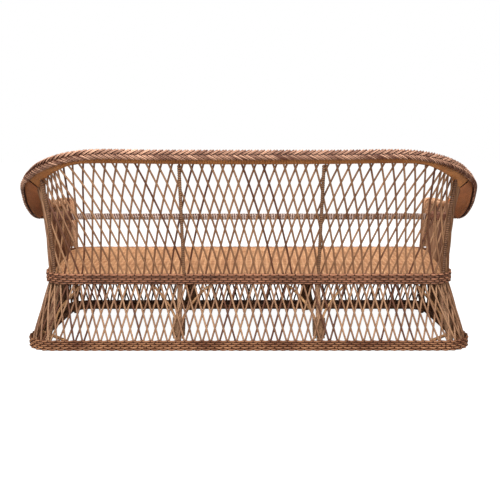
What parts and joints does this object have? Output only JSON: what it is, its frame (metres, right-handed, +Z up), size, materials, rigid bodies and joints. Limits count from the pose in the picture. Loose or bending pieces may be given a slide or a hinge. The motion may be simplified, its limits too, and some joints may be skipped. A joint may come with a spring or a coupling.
{
  "type": "rattan garden sofa",
  "caption": "Long barrel-backed rattan garden sofa with rolled arms, a see-through diamond cane lattice, a woven seat and bands, and a braided rim.",
  "frame": {"origin": "on the ground, at the middle of the bottom of the box that holds the sofa", "axes": "+X to the sitter's left along the length, +Y towards the back, +Z up"},
  "size_m": [2.1104, 0.833, 0.8202],
  "materials": {
    "woven_band": "rows of split cane woven over stakes, satin",
    "woven_seat": "fine close-woven cane, satin",
    "woven_arm_front": "diagonal basket weave of cane, satin",
    "cane_lattice": "round peeled canes, satin",
    "rim_braid": "thick herringbone braid of cane strands, satin",
    "rim_wrap": "flat cane wound closely round the rim, satin",
    "cane_lashing": "flat cane lashed round leg and braces, satin",
    "wrapped_post": "pole wound with thin cane, satin",
    "bare_pole": "bare rattan pole, satin"
  },
  "bodies": {
    "root": {"base_band": "woven_band", "base_ring_pole": "bare_pole", "seat_band": "woven_band", "seat_ring_pole": "bare_pole", "seat_panel": "woven_seat", "seat_cross_bar_1": "bare_pole", "seat_cross_bar_2": "bare_pole", "seat_cross_bar_3": "bare_pole", "seat_cross_bar_4": "bare_pole", "seat_cross_bar_5": "bare_pole", "rear_middle_leg_left": "wrapped_post", "rear_left_brace_outer": "bare_pole", "rear_left_brace_inner": "bare_pole", "rear_leg_lashing_left": "cane_lashing", "rear_middle_leg_right": "wrapped_post", "rear_right_brace_outer": "bare_pole", "rear_right_brace_inner": "bare_pole", "rear_leg_lashing_right": "cane_lashing", "front_middle_leg_left": "wrapped_post", "front_left_brace_outer": "bare_pole", "front_left_brace_inner": "bare_pole", "front_leg_lashing_left": "cane_lashing", "front_middle_leg_right": "wrapped_post", "front_right_brace_outer": "bare_pole", "front_right_brace_inner": "bare_pole", "front_leg_lashing_right": "cane_lashing", "rear_corner_leg_left": "wrapped_post", "front_corner_leg_left": "wrapped_post", "rear_corner_leg_right": "wrapped_post", "front_corner_leg_right": "wrapped_post", "rear_corner_leg_brace_left": "bare_pole", "rear_corner_leg_brace_right": "bare_pole", "corner_brace_left": "bare_pole", "corner_brace_right": "bare_pole", "top_rail_pole": "rim_wrap", "rim_pole": "rim_wrap", "rim_braid": "rim_braid", "rim_core_back": "rim_wrap", "rim_core_right": "rim_wrap", "rim_core_left": "rim_wrap", "back_lattice_centre": "cane_lattice", "back_lattice_left": "cane_lattice", "back_lattice_right": "cane_lattice", "arm_lattice_left": "cane_lattice", "arm_lattice_right": "cane_lattice", "skirt_lattice_rear": "cane_lattice", "skirt_lattice_front": "cane_lattice", "skirt_lattice_left": "cane_lattice", "skirt_lattice_right": "cane_lattice", "mid_band": "woven_band", "back_post_middle_left": "wrapped_post", "back_post_corner_left": "wrapped_post", "back_post_middle_right": "wrapped_post", "back_post_corner_right": "wrapped_post", "arm_front_post_left": "wrapped_post", "arm_front_panel_left": "woven_arm_front", "arm_front_post_right": "wrapped_post", "arm_front_panel_right": "woven_arm_front"}
  },
  "joints": []
}
